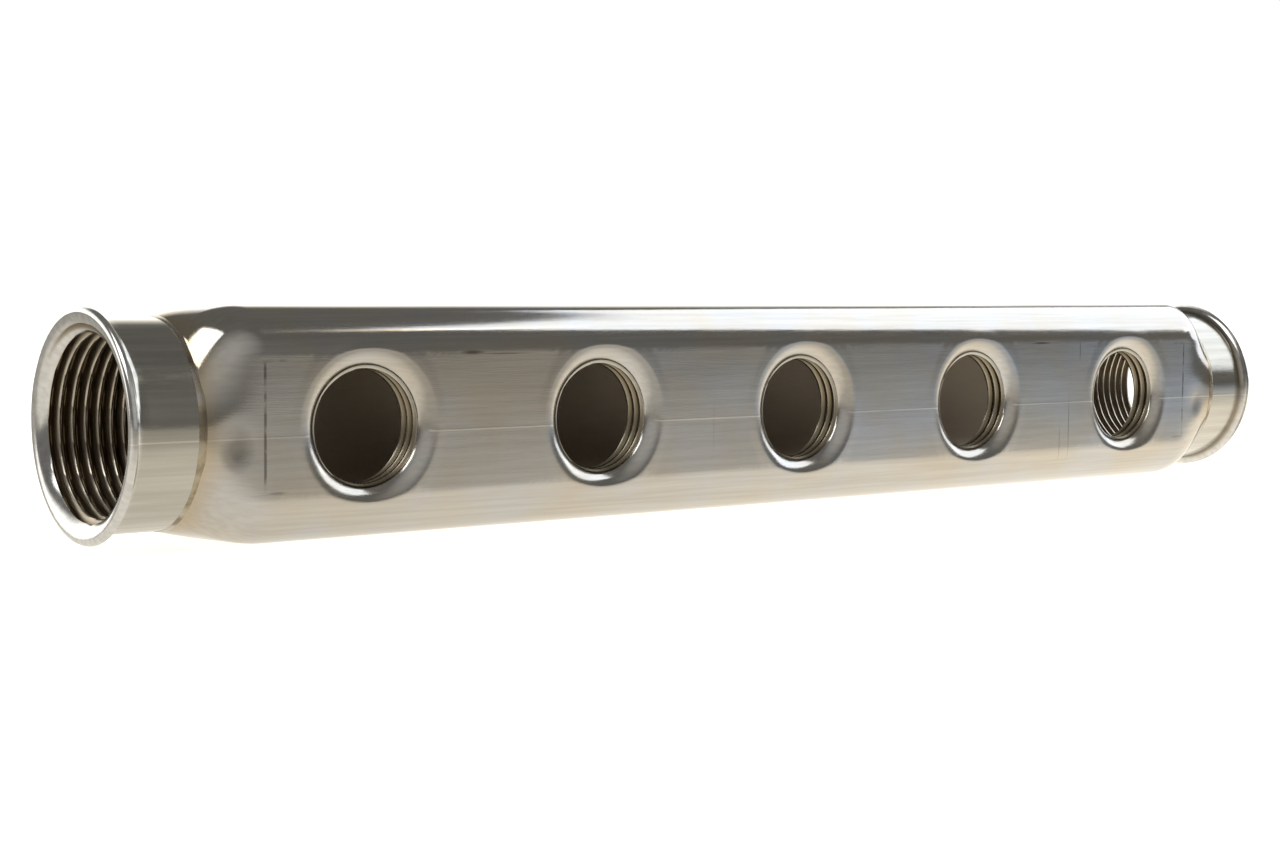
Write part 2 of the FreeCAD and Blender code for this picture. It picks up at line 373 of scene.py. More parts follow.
@dataclass(frozen=True)
class DrawnStainless:
    """Stainless tube, cold drawn and then formed in a die.

    The drawing leaves a satin with fine hairlines along the tube, and the die leaves
    thin dark lines at its edges and a fine raised line where it closes. That line gets
    a painted highlight, and the dents beside the necks get painted shade.
    """

    cool: str = "BEBDBB"
    warm: str = "C0BAAF"
    # dark tone of the die's marks and the scuffs, and of the painted shade in the dents
    mark_and_shade_tone: str = "4A423A"
    straw: str = "B09A70"
    inside: str = "C6BAA8"
    # colour of the painted highlight along the die's closing line
    bright: str = "E6E2D8"
    hairline: float = 0.16  # about 0.03 on the real tube, drawn coarser so that it shows
    streak: float = 0.8
    cloud: float = 16.0
    pit: float = 0.22  # the scale's pits are nearer 0.05, drawn coarser so that they show
    drawn_out: float = 0.03  # a hairline's breadth for a length of 1
    warm_range: tuple[float, float] = (0.38, 0.62)
    streak_tone: tuple[float, float] = (0.93, 1.03)
    satin: tuple[float, float] = (0.13, 0.22)  # roughness across the hairlines
    patchy: tuple[float, float] = (-0.02, 0.04)  # added to it from place to place
    dull_inside: float = 0.4
    polished: tuple[tuple[int, float, float, float], ...] = (
        (2, 11.5, 14.0, 0.55),
        (0, 119.0, 125.0, 0.7),
    )  # axis, where the die's rubbing starts and is full, and the roughness it leaves
    depths: tuple[float, ...] = (0.005, 0.0035, 0.004, 0.004)  # hair, pit, streak, line
    die_end: float = 120.0
    die_half_height: float = 11.2
    die_line: float = 0.34  # half its width
    die_line_fade: float = 1.5
    nick_inset: tuple[float, float] = (1.8, 0.4)  # along the bar, and in height
    nick_half_size: tuple[float, float] = (2.6, 0.3)
    nick_strength: tuple[float, float] = (0.6, 0.35)  # at the left and the right end
    die_break: float = 3.5
    break_range: tuple[float, float] = (0.42, 0.56)
    break_strength: tuple[float, float] = (0.1, 0.66)
    spot_core: float = 0.3  # share of a spot's size that is fully dark
    scuffs_and_shade: tuple[ScuffAndShade, ...] = (
        ScuffAndShade(-79.5, 11.6, 2.9, 0.5, 0.7),
        ScuffAndShade(-72.5, 11.3, 6.0, 0.16, 0.5),
        ScuffAndShade(70.0, 11.4, 3.4, 0.26, 0.75),
        # painted shade over the pressed-in dents beside the two necks
        ScuffAndShade(-125.0, -3.4, 3.4, 4.2, 0.42),
        ScuffAndShade(126.0, -4.0, 2.2, 3.2, 0.35),
        ScuffAndShade(79.5, -7.0, 0.15, 8.5, 0.55),
        ScuffAndShade(76.5, -10.5, 0.14, 4.5, 0.5),
        ScuffAndShade(-24.0, -3.0, 0.12, 7.0, 0.22),
        ScuffAndShade(83.0, 9.5, 0.25, 2.6, 0.4),
    )

    def marks_and_shade(
        self, tree: bpy.types.NodeTree, place: bpy.types.NodeSocket
    ) -> bpy.types.NodeSocket:
        """Draw the die's lines, the scuffs and the dents' painted shade on the front.

        Args:
            tree: The node tree.
            place: Object coordinates.

        Returns:
            How dark they are, from 0 to 1.
        """
        along, deep, tall = add_node(tree, "SeparateXYZ", {0: place})
        far = add_node(tree, "Math", {0: along}, operation="ABSOLUTE")[0]
        high = add_node(tree, "Math", {0: tall}, operation="ABSOLUTE")[0]
        top, end = self.die_half_height, self.die_end
        fade = {0: high, 1: top * MM, 2: (top - self.die_line_fade) * MM}
        stop = add_node(tree, "MapRange", fade)[0]
        left, right = self.nick_strength
        ends = {0: along, 1: -end * MM, 2: end * MM, 3: left, 4: right}
        upright = (soft_line(tree, far, end, self.die_line), stop)
        nick = (
            soft_line(tree, high, top - self.nick_inset[1], self.nick_half_size[1]),
            soft_line(tree, far, end - self.nick_inset[0], self.nick_half_size[0]),
            add_node(tree, "MapRange", ends)[0],
        )
        mark = 0.0
        for shade, *limits in (upright, nick):
            for limit in limits:
                shade = add_node(tree, "Math", {0: shade, 1: limit}, operation="MULTIPLY")[0]
            mark = add_node(tree, "Math", {0: shade, 1: mark}, operation="MAXIMUM")[0]
        grain = {"Vector": place, "Scale": per_mm(self.die_break), "Detail": 2.0}
        broken = add_node(tree, "TexNoise", grain)[0]
        low, high = self.break_range
        faint, strong = self.break_strength
        worn = {0: broken, 1: low, 2: high, 3: faint, 4: strong}
        kept = add_node(tree, "MapRange", worn)[0]
        mark = add_node(tree, "Math", {0: mark, 1: kept}, operation="MULTIPLY")[0]
        # scuffs and scratches, and painted shade over the dents
        for dark_spot in self.scuffs_and_shade:
            centre = (dark_spot.x * MM, 0.0, dark_spot.z * MM)
            size = (dark_spot.half_x * MM, 1.0, dark_spot.half_z * MM)
            moved = add_node(tree, "VectorMath", {0: place, 1: centre}, operation="SUBTRACT")[0]
            fitted = add_node(tree, "VectorMath", {0: moved, 1: size}, operation="DIVIDE")[0]
            reach = add_node(tree, "VectorMath", {0: fitted}, operation="LENGTH")[1]
            darkening = {0: reach, 1: 1.0, 2: self.spot_core, 3: 0.0, 4: dark_spot.darkness}
            dark = add_node(tree, "MapRange", darkening)[0]
            mark = add_node(tree, "Math", {0: mark, 1: dark}, operation="MAXIMUM")[0]
        face = add_node(tree, "MapRange", {0: deep, 1: MARK_FADE[0], 2: MARK_FADE[1]})[0]
        return add_node(tree, "Math", {0: mark, 1: face}, operation="MULTIPLY")[0]

    def material(self) -> bpy.types.Material:
        """Mix the drawn satin, with hairlines along the bar, the die's marks, a painted
        highlight on the closing line and painted shade in the dents.

        Returns:
            The material, which reads the piece's straw and inside layers.
        """
        made, tree = new_material("drawn_stainless_satin")
        place = add_node(tree, "TexCoord")["Object"]
        drawn = {"Vector": place, "Scale": (self.drawn_out, 1, 1)}
        along = add_node(tree, "Mapping", drawn)[0]
        hair, streak, cloud, pit = (
            add_node(
                tree, "TexNoise", {"Vector": way, "Scale": per_mm(spacing), "Detail": detail}
            )[0]
            for way, spacing, detail in (
                (along, self.hairline, 3.0),
                (along, self.streak, 4.0),
                (place, self.cloud, 4.0),
                (place, self.pit, 3.0),
            )
        )
        straw, inside = (
            add_node(tree, "Attribute", attribute_name=layer)["Fac"]
            for layer in ("straw", "inside")
        )
        axes = add_node(tree, "SeparateXYZ", {0: place})
        closing = closing_line(tree, axes[1], axes[2])

        low, high = self.warm_range
        warmth = add_node(tree, "MapRange", {0: cloud, 1: low, 2: high})[0]
        blend = {0: warmth, 6: linear(self.cool), 7: linear(self.warm)}
        steel = add_node(tree, "Mix", blend, data_type="RGBA")[2]
        dark, light = self.streak_tone
        toned = {0: streak, 1: 0.35, 2: 0.65, 3: dark, 4: light}
        grain = add_node(tree, "MapRange", toned)[0]
        colour = add_node(tree, "VectorMath", {0: steel, "Scale": grain}, operation="SCALE")[0]
        # painted highlight: the closing line is lightened towards the bright colour, broken up
        # by the streaks
        broken = add_node(tree, "MapRange", {0: streak, 1: 0.4, 2: 0.6, 3: 0.3, 4: 0.9})[0]
        painted_glint = add_node(tree, "Math", {0: closing, 1: broken}, operation="MULTIPLY")[0]
        for share, tint in (
            (painted_glint, self.bright),
            (straw, self.straw),
            (inside, self.inside),
            # the die's marks and scuffs, with painted shade in the dents
            (self.marks_and_shade(tree, place), self.mark_and_shade_tone),
        ):
            blend = {0: share, 6: colour, 7: linear(tint)}
            colour = add_node(tree, "Mix", blend, data_type="RGBA")[2]

        satin, patch = (
            add_node(
                tree, "MapRange", {0: value, 1: NOISE_LOW, 2: NOISE_HIGH, 3: least, 4: most}
            )[0]
            for value, (least, most) in ((hair, self.satin), (cloud, self.patchy))
        )
        rough = add_node(tree, "Math", {0: satin, 1: patch}, operation="ADD")[0]
        for axis, start, end, polish in self.polished:
            away = add_node(tree, "Math", {0: axes[axis]}, operation="ABSOLUTE")[0]
            rubbed = {0: away, 1: start * MM, 2: end * MM, 3: 1.0, 4: polish}
            share = add_node(tree, "MapRange", rubbed)[0]
            rough = add_node(tree, "Math", {0: rough, 1: share}, operation="MULTIPLY")[0]
        dull = {0: inside, 1: self.dull_inside, 2: rough}
        rough = add_node(tree, "Math", dull, operation="MULTIPLY_ADD")[0]
        close_metal(tree, colour, rough, zip((hair, pit, streak, closing), self.depths))
        return made


@dataclass(frozen=True)
class TurnedStainless:
    """Stainless socket, turned and rolled at the rim, with a cut thread in its bore.

    Outside it keeps the satin of drawn tube, the rim is burnished by the roller, and
    the thread is darker, with painted shade in its roots. The closing line gets a
    painted highlight, and the right socket's fillet gets painted shade.
    """

    neck: str = "BAB7AE"
    rim: str = "D2D2D0"
    crest: str = "BDB3A2"
    # colour of the painted shade in the thread roots and in the right socket's fillet
    painted_shade: str = "6B5A40"
    # colour of the painted highlight along the closing line
    bright: str = "E6E2D8"
    hairline: float = 0.16  # about 0.03 in truth, drawn coarser so that it shows
    streak: float = 1.2
    tool_mark: float = 0.12  # the tool's feed leaves about 0.05, drawn coarser to show
    drawn_out: float = 0.04  # a hairline's breadth for a length of 1
    turned_out: float = 0.02  # a tool mark's breadth for a length of 1 round the bore
    streak_tone: tuple[float, float] = (0.88, 1.05)
    painted_glint: float = 0.5  # how bright the painted highlight on the closing line is
    satin: tuple[float, float] = (0.11, 0.2)  # roughness across the hairlines
    cut: tuple[float, float] = (0.26, 0.42)  # roughness across the thread's tool marks
    depths: tuple[float, ...] = (0.004, 0.005, 0.004)  # hairline, tool mark, closing line

    def material(self, name: str) -> bpy.types.Material:
        """Mix the turned finish.

        Args:
            name: The material's name.

        Returns:
            The material, which reads the piece's bore, painted shade and rim layers.
        """
        made, tree = new_material(name)
        place = add_node(tree, "TexCoord")["Object"]
        along, around = (
            add_node(tree, "Mapping", {"Vector": place, "Scale": scale})[0]
            for scale in ((self.drawn_out, 1, 1), (1, self.turned_out, self.turned_out))
        )
        hair, streak, tool = (
            add_node(
                tree, "TexNoise", {"Vector": way, "Scale": per_mm(spacing), "Detail": detail}
            )[0]
            for way, spacing, detail in (
                (along, self.hairline, 3.0),
                (along, self.streak, 3.0),
                (around, self.tool_mark, 2.0),
            )
        )
        bore, painted_shade, rim = (
            add_node(tree, "Attribute", attribute_name=layer)["Fac"]
            for layer in ("bore", "painted_shade", "rim")
        )
        _, y, z = add_node(tree, "SeparateXYZ", {0: place})
        closing = closing_line(tree, y, z)

        blend = {0: rim, 6: linear(self.neck), 7: linear(self.rim)}
        steel = add_node(tree, "Mix", blend, data_type="RGBA")[2]
        dark, light = self.streak_tone
        toned = {0: streak, 1: 0.35, 2: 0.65, 3: dark, 4: light}
        grain = add_node(tree, "MapRange", toned)[0]
        colour = add_node(tree, "VectorMath", {0: steel, "Scale": grain}, operation="SCALE")[0]
        # painted highlight along the closing line
        painted_glint = add_node(tree, "Math", {0: closing, 1: self.painted_glint}, operation="MULTIPLY")[0]
        for share, tint in ((painted_glint, self.bright), (bore, self.crest), (painted_shade, self.painted_shade)):
            blend = {0: share, 6: colour, 7: linear(tint)}
            colour = add_node(tree, "Mix", blend, data_type="RGBA")[2]

        plain, cut = (
            add_node(
                tree, "MapRange", {0: value, 1: NOISE_LOW, 2: NOISE_HIGH, 3: least, 4: most}
            )[0]
            for value, (least, most) in ((hair, self.satin), (tool, self.cut))
        )
        rough = add_node(tree, "Mix", {0: bore, 2: plain, 3: cut}, data_type="FLOAT")[0]
        close_metal(tree, colour, rough, zip((hair, tool, closing), self.depths))
        return made


@dataclass(frozen=True)
class WeldMetal:
    """Stainless weld metal, ground back but with some heat colour left in the toes.

    The ripple of the pool gives a broken gloss, and the oxide runs from straw to brown.
    """

    silver: str = "B5B0A5"
    straw: str = "A99E88"
    brown: str = "857A69"
    patch: float = 4.0
    grit: float = 0.2  # the grinder leaves about 0.08, drawn coarser so that it shows
    heat_stops: tuple[float, float, float] = (0.36, 0.48, 0.6)  # brown, straw, silver
    rough: tuple[float, float] = (0.16, 0.32)
    grit_depth: float = 0.01

    def material(self) -> bpy.types.Material:
        """Mix the heat-coloured weld metal.

        Returns:
            The material.
        """
        made, tree = new_material("weld_metal_ground")
        place = add_node(tree, "TexCoord")["Object"]
        patch, grit = (
            add_node(
                tree, "TexNoise", {"Vector": place, "Scale": per_mm(spacing), "Detail": 3.0}
            )[0]
            for spacing in (self.patch, self.grit)
        )
        colour = add_node(tree, "ValToRGB", {0: patch})[0]
        stops = colour.node.color_ramp.elements
        brown_at, straw_at, silver_at = self.heat_stops
        stops[0].position, stops[0].color = brown_at, linear(self.brown)
        stops[1].position, stops[1].color = silver_at, linear(self.silver)
        stops.new(straw_at).color = linear(self.straw)
        least, most = self.rough
        ground = {0: grit, 1: NOISE_LOW, 2: NOISE_HIGH, 3: least, 4: most}
        rough = add_node(tree, "MapRange", ground)[0]
        close_metal(tree, colour, rough, ((grit, self.grit_depth),))
        return made


# ----------------------------------------------------------------- the pieces


@dataclass
class BodyShell:
    """The formed body: round at its mouths, a rounded rectangle between them, with
    five outlets whose edges are rolled in. Sizes are in millimetres."""

    finish: DrawnStainless
    half_depth: float = 17.8
    half_height: float = 19.85
    corner: float = 8.2
    wall: float = 1.75
    mouth_at: float = 131.0
    mouth_radius: float = 17.78
    seat_from: float = 126.0
    seat_radius: float = 17.2
    shoulder: tuple[float, float, float] = (10.0, 12.5, 14.5)  # top, sides, bottom
    shoulder_power: float = 2.1
    port_count: int = 5
    port_pitch: float = 50.0
    port_height: float = PORT_HEIGHT
    ring_radius: float = 10.3
    lip_radius: float = 13.7
    roll_power: float = 1.85
    roll_share: float = 0.5  # of the superellipse in the roll, the rest is a plain curve
    roll_shares: tuple[float, ...] = (
        0.0, 0.015, 0.05, 0.11, 0.18, 0.27, 0.38, 0.52, 0.69, 0.87, 1.04
    )  # where the mesh's rings lie between the ring radius and the lip radius
    dent_depth: float = 0.3
    dent_at: tuple[float, float] = (125.6, -3.2)  # along the bar, and up its front
    dent_reach: float = 3.0
    ripple_depth: float = 0.03
    ripple_scale: tuple[float, float] = (0.045, 2.0)  # along the bar, and round it
    ripple_fade: float = 6.0  # from the mouths, which are true
    seam_straw: tuple[float, float] = (0.5, 2.5)  # strength and reach of the weld's tint
    cell: float = 17.5  # half the square of mesh round each outlet
    cell_steps: int = 24
    hole_steps: int = 8
    gap_steps: int = 16
    end_steps: int = 30
    port_xs: list[float] = field(init=False)
    columns: list[float] = field(init=False)
    rows: list[float] = field(init=False)
    rings: list[float] = field(init=False)

    def __post_init__(self) -> None:
        """Work out the mesh's rows and columns and the rings round an outlet."""
        middle = (self.port_count - 1) / 2
        self.port_xs = [(n - middle) * self.port_pitch for n in range(self.port_count)]
        stops = [-self.mouth_at]
        for x in self.port_xs:
            stops += [x - self.cell, x + self.cell]
        stops.append(self.mouth_at)
        counts = [self.end_steps]
        counts += [2 * self.cell_steps, self.gap_steps] * (self.port_count - 1)
        counts += [2 * self.cell_steps, self.end_steps]
        self.columns = [stops[0]]
        for start, end, count in zip(stops, stops[1:], counts):
            self.columns += [lerp(start, end, (n + 1) / count) for n in range(count)]
        self.rows = [
            lerp(-self.cell, self.cell, n / (2 * self.cell_steps))
            for n in range(2 * self.cell_steps + 1)
        ]
        flat, arc = self.half_height - self.corner, self.corner * math.pi / 2
        top = 2 * (self.half_depth - self.corner)
        runs = [
            (flat + arc - self.port_height - self.cell, 11),
            (top, 6),
            (arc, 12),
            (2 * flat, 8),
            (arc, 12),
            (top, 6),
            (flat + arc + self.port_height - self.cell, 9),
        ]  # from the outlets' cells round the back: length and count of rows
        for length, count in runs:
            start = self.rows[-1]
            self.rows += [start + length * (n + 1) / count for n in range(count)]
        self.rings = [lerp(self.ring_radius, self.lip_radius, n) for n in self.roll_shares]
        last, count = self.rings[-1], self.cell_steps - self.hole_steps - len(self.rings) + 1
        self.rings += [lerp(last, self.cell, (n + 1) / count) for n in range(count)]

    @property
    def quarter(self) -> float:
        """A quarter of the body's girth, from the front's middle to the top's middle."""
        return (
            (self.half_height - self.corner)
            + (self.half_depth - self.corner)
            + self.corner * math.pi / 2
        )

    def section(self, girth: float) -> tuple[Vector, Vector]:
        """Find a place on the body's full section.

        Args:
            girth: Distance round the body from the middle of the front, upwards.

        Returns:
            The point and its outward direction.
        """
        turns, within = divmod(girth + self.quarter, 2 * self.quarter)
        local = within - self.quarter  # -quarter..quarter round the front or the back
        sign = -1 if turns % 2 == 0 else 1  # the front faces -Y
        up = 1 if local >= 0 else -1
        if sign == 1:
            up = -up
        flat = self.half_height - self.corner
        arc = self.corner * math.pi / 2
        length = abs(local)
        if length <= flat:
            point = Vector((0, sign * self.half_depth, up * length))
            normal = Vector((0, sign, 0))
        elif length <= flat + arc:
            angle = (length - flat) / self.corner
            normal = Vector((0, sign * math.cos(angle), up * math.sin(angle)))
            centre = Vector((0, sign * (self.half_depth - self.corner), up * flat))
            point = centre + normal * self.corner
        else:
            left = self.half_depth - self.corner - (length - flat - arc)
            point = Vector((0, sign * left, up * self.half_height))
            normal = Vector((0, 0, up))
        return point, normal

    def skin(self, x: float, girth: float) -> tuple[Vector, Vector]:
        """Find a place on the plain outer skin, with its shoulders.

        Args:
            x: Distance along the bar.
            girth: Distance round the full section from the middle of the front.

        Returns:
            The point and its outward direction.
        """
        angle = girth / self.quarter * math.pi / 2
        round_way = Vector((0, -math.cos(angle), math.sin(angle)))
        point, normal = self.section(girth)
        top, sides, bottom = self.shoulder
        rise = math.sin(angle)
        reach = lerp(sides, top, rise) if rise > 0 else lerp(sides, bottom, -rise)
        share = 1 - (1 - clamp((self.mouth_at - abs(x)) / reach)) ** self.shoulder_power
        where = round_way * self.mouth_radius
        where = where.lerp(point, share)
        out = round_way.lerp(normal, share).normalized()
        where.x = x
        return where, out

    def dents(self, x: float, girth: float) -> float:
        """Find how far forming has pushed the skin in at a place.

        Args:
            x: Distance along the bar.
            girth: Distance round the full section from the middle of the front.

        Returns:
            The depth, which is 0 at the mouths.
        """
        far = abs(x)
        away = math.hypot(far - self.dent_at[0], girth - self.dent_at[1])
        depth = self.dent_depth * bell(away, self.dent_reach)
        round_way = girth / self.quarter * math.pi / 2
        along, around = self.ripple_scale
        spot = (x * along, around * math.cos(round_way), around * math.sin(round_way))
        depth += self.ripple_depth * (1 + noise.noise(Vector(spot)))
        return depth * smooth((self.mouth_at - far) / self.ripple_fade)

    def port_depth(self, radius: float) -> float:
        """Find how deep the rolled edge lies.

        Args:
            radius: Distance from the outlet's axis.

        Returns:
            The depth, from 0 at the lip to the wall's at the ring.
        """
        over = clamp((self.lip_radius - radius) / (self.lip_radius - self.ring_radius))
        rolled = 1 - (1 - over**self.roll_power) ** (1 / self.roll_power)
        return self.wall * lerp(over * over, rolled, self.roll_share)

    def grid_place(self, column: int, row: int) -> tuple[float, float, float | None]:
        """Place one grid point on the unrolled body.

        Args:
            column: Its column along the bar.
            row: Its row round the body.

        Returns:
            X, girth, and the radius about the nearest outlet's axis, or None away
            from the outlets.
        """
        x, girth = self.columns[column], self.rows[row]
        for centre in self.port_xs:
            across = (x - centre) / self.cell * self.cell_steps
            along = girth / self.cell * self.cell_steps
            ring = max(abs(across), abs(along))
            if ring > self.cell_steps + LAYER_GAP or ring < 0.5:
                continue
            if abs(across) >= abs(along):
                angle = math.pi / 4 * along / ring
                if across < 0:
                    angle = math.pi - angle
            else:
                angle = math.pi / 2 - math.pi / 4 * across / ring
                if along < 0:
                    angle = -angle
            step = round(ring) - self.hole_steps
            if step < 0:
                radius = self.ring_radius * ring / self.hole_steps
                share = 0.0
            else:
                radius = self.rings[step]
                rolled = len(self.roll_shares) - 1
                share = clamp((step - rolled) / (len(self.rings) - 1 - rolled))
            u = lerp(math.cos(angle) * radius, x - centre, share)
            v = lerp(math.sin(angle) * radius, girth, share)
            return centre + u, v, math.hypot(u, v)
        return x, girth, None

    def outer_place(self, x: float, girth: float) -> Vector:
        """Find a place on the finished outer skin, with its dents and rolled edges.

        Args:
            x: Distance along the bar.
            girth: Distance round the full section from the middle of the front.

        Returns:
            The point.
        """
        where, out = self.skin(x, girth)
        depth = self.dents(x, girth)
        up = girth - self.port_height
        radius = min(math.hypot(x - centre, up) for centre in self.port_xs)
        if radius < self.cell:
            depth = depth * smooth((radius - self.lip_radius) / 2) + self.port_depth(radius)
        return where - out * depth

    def outer_normal(self, x: float, girth: float) -> Vector:
        """Find which way the finished outer skin faces.

        Args:
            x: Distance along the bar.
            girth: Distance round the full section from the middle of the front.

        Returns:
            The outward direction.
        """
        step = 0.03  # millimetres, far finer than any shape on the skin
        along = self.outer_place(x + step, girth) - self.outer_place(x - step, girth)
        around = self.outer_place(x, girth + step) - self.outer_place(x, girth - step)
        return along.cross(around).normalized()

    def one_skin(self, inner: bool) -> bmesh.types.BMesh:
        """Wrap a grid round the body, leaving out the outlets.

        Args:
            inner: Whether it is the inner skin, one wall in from the outer.

        Returns:
            The open mesh, with its straw, inside and girth layers.
        """
        mesh = bmesh.new()
        across, around = len(self.columns) - 1, len(self.rows) - 1
        bmesh.ops.create_grid(mesh, x_segments=across, y_segments=around, size=0.5)
        straw = mesh.verts.layers.float.new("straw")
        inside = mesh.verts.layers.float.new("inside")
        unrolled = mesh.verts.layers.float.new("girth")
        holes = []
        for dot in mesh.verts:
            column = round((dot.co.x + 0.5) * across)
            row = round((dot.co.y + 0.5) * around)
            x, girth, radius = self.grid_place(column, row)
            if radius is not None and radius < self.ring_radius - 0.05:
                holes.append(dot)
                continue
            girth += self.port_height
            if not inner:
                dot.co = self.outer_place(x, girth)
                strength, reach = self.seam_straw
                dot[straw] = strength * bell(abs(x) - self.mouth_at, reach)
                dot[unrolled] = girth
                continue
            where, out = self.skin(x, girth)
            at_ring = radius is not None and radius < self.ring_radius + 0.05
            where -= out * (self.port_depth(radius) if at_ring else self.wall)
            if abs(x) > self.seat_from:
                grow = max(self.seat_radius / math.hypot(where.y, where.z), 1.0)
                where.y *= grow
                where.z *= grow
            dot.co = where
            dot[inside] = 1.0
        bmesh.ops.delete(mesh, geom=holes, context="VERTS")
        return mesh

    def shade(self, data: bpy.types.Mesh) -> None:
        """Give the front's outer faces the normals of the true surface.

        Args:
            data: The finished mesh, in metres. Its girth layer is used up here.
        """
        girths = data.attributes["girth"].data
        inside = data.attributes["inside"].data
        front = self.cell + self.corner
        known = {}
        normals = []
        for face in data.polygons:
            outer = not any(inside[dot].value for dot in face.vertices)
            for dot in face.vertices:
                x, girth = data.vertices[dot].co.x / MM, girths[dot].value
                if not outer or abs(girth) > front:
                    normals.append((0.0, 0.0, 0.0))
                    continue
                if dot not in known:
                    known[dot] = self.outer_normal(x, girth)
                normals.append(known[dot])
        data.normals_split_custom_set(normals)
        data.attributes.remove(data.attributes["girth"])

    def build(self) -> bpy.types.Object:
        """Build the body from its two skins, joined at the outlets and the mouths.

        Returns:
            The piece.
        """
        whole = self.one_skin(inner=False)
        inner = self.one_skin(inner=True)
        spare = bpy.data.meshes.new("inner_skin")
        inner.to_mesh(spare)
        inner.free()
        whole.from_mesh(spare)
        bpy.data.meshes.remove(spare)
        weld_doubles(whole)
        for side in Side:
            rim = [
                edge
                for edge in whole.edges
                if edge.is_boundary
                and all(
                    abs(dot.co.x - side.value * self.mouth_at) < LAYER_GAP for dot in edge.verts
                )
            ]
            bmesh.ops.bridge_loops(whole, edges=rim)
        face_outwards(whole)
        piece = finish_piece(
            whole, "formed_body", self.finish.material(), "body_shell"
        )
        self.shade(piece.data)
        return piece


@dataclass(frozen=True)
class ThreadedBore:
    """A right-hand pipe thread in a bore about Z, opened by a cone at its mouth."""

    pitch: float
    crest: float
    root: float
    length: float
    mouth: float
    cone_depth: float
    start: float = 0.0  # of a turn that the groove is begun later
    cone_roll: float = 0.55  # of a quarter round in the mouth, the rest is a straight cone
    rows_per_turn: int = 16
    crest_flat: float = 0.16  # of half a pitch
    flank: float = 0.74
    rounding: float = 0.45  # of the groove's flanks, from straight to eased
    edge_blend: float = 0.5  # millimetres over which the thread's finish comes in

    def outline(self) -> list[tuple[float, float]]:
        """Draw the plain bore, from just inside its mouth to its far end.

        Returns:
            Radius and height of each point.
        """
        count = math.ceil(self.length / self.pitch * self.rows_per_turn)
        return [(self.crest, self.length * (1 - n / count)) for n in range(count + 1)]

    def groove(self, share: float) -> float:
        """Find the rounded groove's depth.

        Args:
            share: The place along the thread, in turns.

        Returns:
            0 at a crest and 1 at a root.
        """
        rise = 1 - abs(2 * (share % 1) - 1)
        straight = clamp((rise - self.crest_flat) / self.flank)
        return lerp(straight, smooth(straight), self.rounding)

    def cut(self, mesh: bmesh.types.BMesh) -> None:
        """Press the thread and its cone into the plain bore.

        Args:
            mesh: The spun mesh. It gets float layers that say where its bore is, and
                where painted shade darkens its roots.
        """
        bore = mesh.verts.layers.float.new("bore")
        painted_shade = mesh.verts.layers.float.new("painted_shade")
        for dot in mesh.verts:
            size = math.hypot(dot.co.x, dot.co.y)
            if size > self.crest + LAYER_GAP:
                continue
            turn = math.atan2(dot.co.y, dot.co.x) / FULL_TURN
            depth = self.groove(dot.co.z / self.pitch - turn - self.start)
            radius = lerp(self.crest, self.root, depth)
            down = clamp((self.length - dot.co.z) / self.cone_depth)
            rolled = math.sqrt(down * (2 - down))
            cone = lerp(self.mouth, self.crest, lerp(down, rolled, self.cone_roll))
            grown = max(radius, cone) / size
            dot.co.x *= grown
            dot.co.y *= grown
            dot[bore] = smooth((radius - cone) / self.edge_blend + 0.5)
            # painted shade: the roots are darkened in step with the groove's depth
            dot[painted_shade] = dot[bore] * depth


